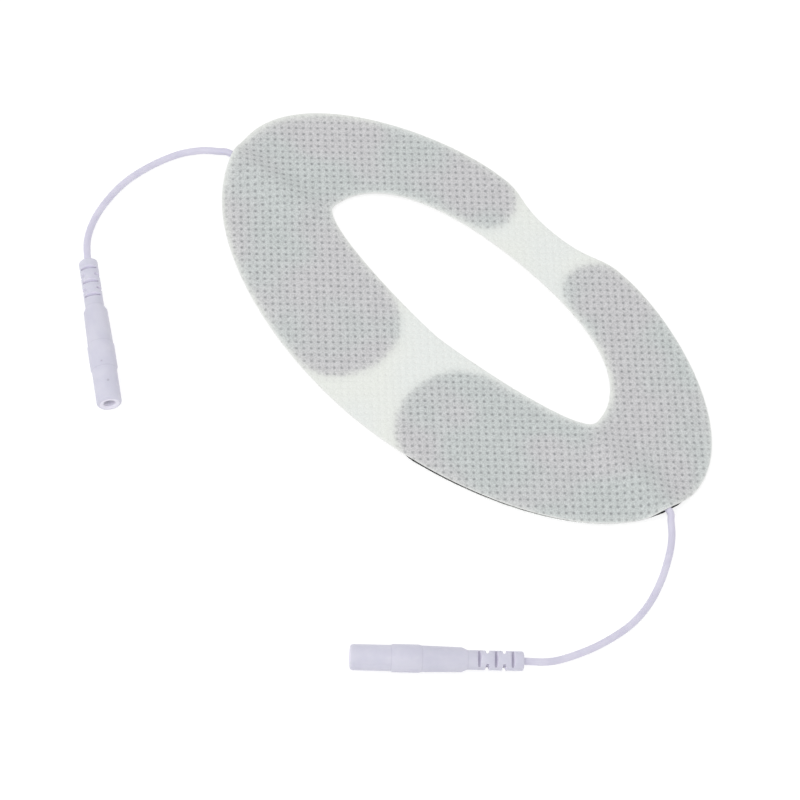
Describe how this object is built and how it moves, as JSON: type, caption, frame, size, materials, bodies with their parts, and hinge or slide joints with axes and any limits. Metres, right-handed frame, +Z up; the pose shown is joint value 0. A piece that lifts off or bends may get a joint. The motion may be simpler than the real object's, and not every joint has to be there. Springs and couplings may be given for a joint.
{
  "type": "massager electrode pad",
  "caption": "Flat ring-shaped twin electrode pad with an oval hole, gel under its carbon films, and short leads that end in moulded female pin connectors.",
  "frame": {"origin": "middle of the pad's bounding box, on the underside of the gel, measured without the leads and what is on them", "axes": "+X along the pad's long side, +Y across it from the wide bridge to the notched narrow bridge, +Z up from the skin side to the fabric side"},
  "size_m": [0.1571, 0.1177, 0.006],
  "materials": {
    "nonwoven": "embossed white non-woven fabric",
    "carbon_film": "matt black conductive film",
    "gel": "tacky clear hydrogel",
    "conductor": "twisted copper strands",
    "lead": "soft pale lavender insulation",
    "connector": "satin moulded pale lavender plastic",
    "contact": "nickel plated"
  },
  "bodies": {
    "root": {"nonwoven_cover": "nonwoven", "carbon_film_left": "carbon_film", "carbon_film_right": "carbon_film", "gel_pad_left": "gel", "gel_pad_right": "gel", "bare_conductor_left": "conductor", "bare_conductor_right": "conductor", "lead_left": "lead", "lead_right": "lead", "connector_housing_left": "connector", "connector_housing_right": "connector", "socket_contact_left": "contact", "socket_contact_right": "contact", "crimped_conductor_left": "conductor", "crimped_conductor_right": "conductor"}
  },
  "joints": []
}
